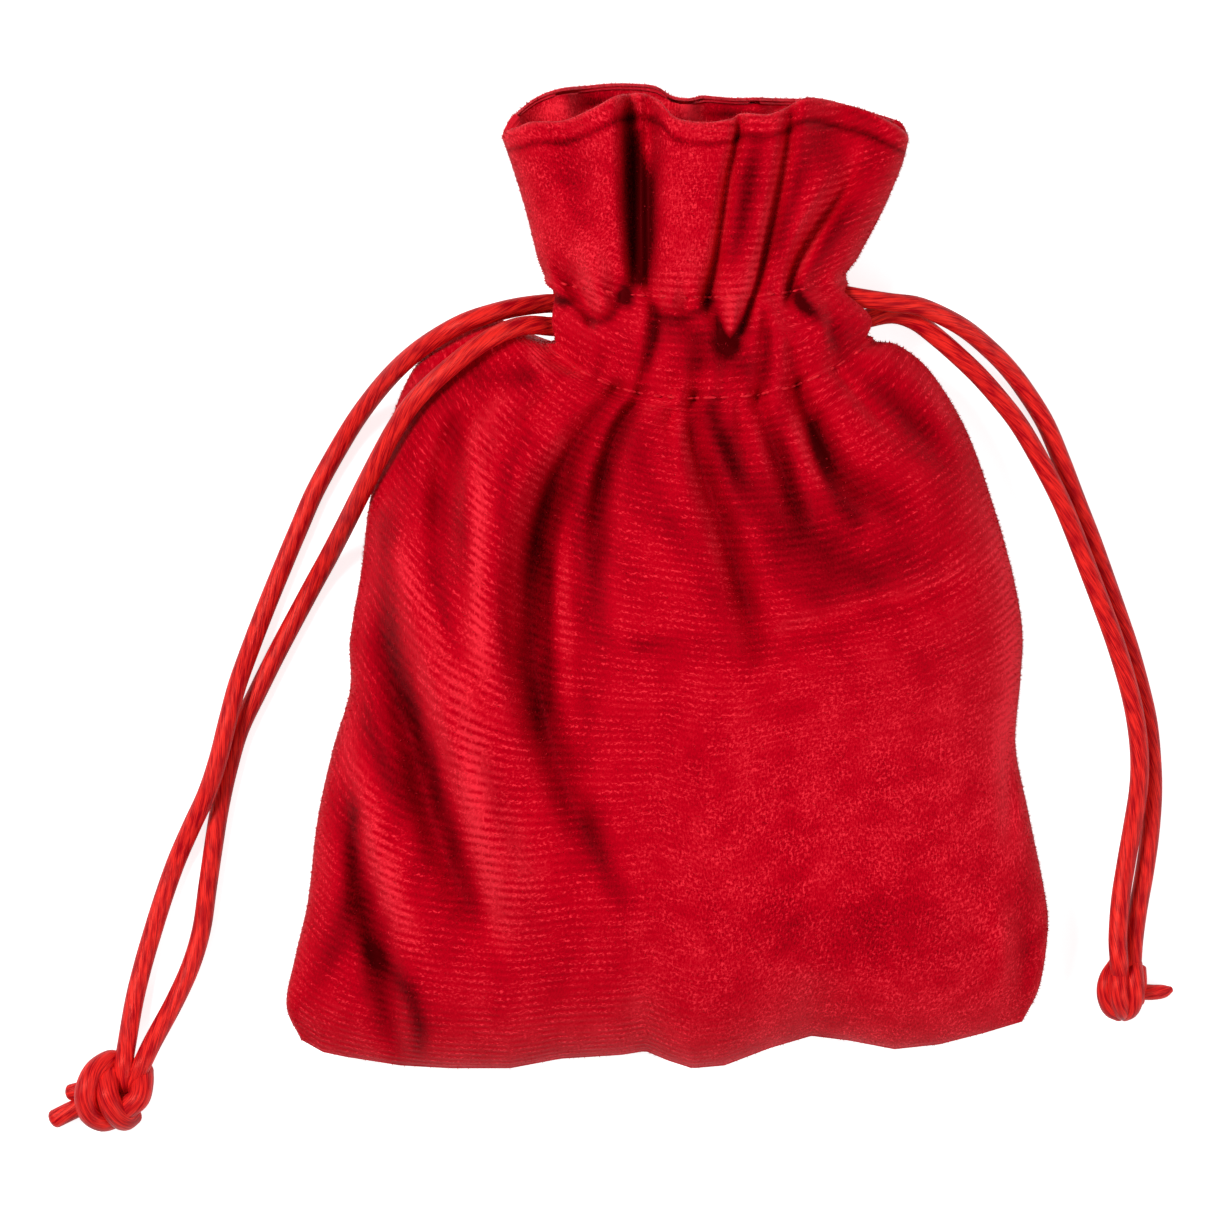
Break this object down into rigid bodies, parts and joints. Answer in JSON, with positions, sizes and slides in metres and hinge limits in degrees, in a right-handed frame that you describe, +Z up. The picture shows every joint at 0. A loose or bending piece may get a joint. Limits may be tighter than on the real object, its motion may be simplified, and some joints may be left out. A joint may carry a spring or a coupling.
{
  "type": "drawstring pouch",
  "caption": "Small velvet pouch with a gathered neck, a flared open mouth and satin drawstrings knotted at each side, lying on its back.",
  "frame": {"origin": "centre of the bag's footprint, on the surface it lies on", "axes": "+Y from the bottom seam to the mouth, +X to the right as seen from above, +Z up from the back panel to the front panel"},
  "size_m": [0.1182, 0.1098, 0.021],
  "materials": {
    "red_velvet": "knit velvet with fine cross ribs",
    "red_satin": "satin rattail cord"
  },
  "bodies": {
    "root": {"front_panel": "red_velvet", "back_panel": "red_velvet", "left_drawstring": "red_satin", "right_drawstring": "red_satin", "left_knot": "red_satin", "right_knot": "red_satin"}
  },
  "joints": []
}
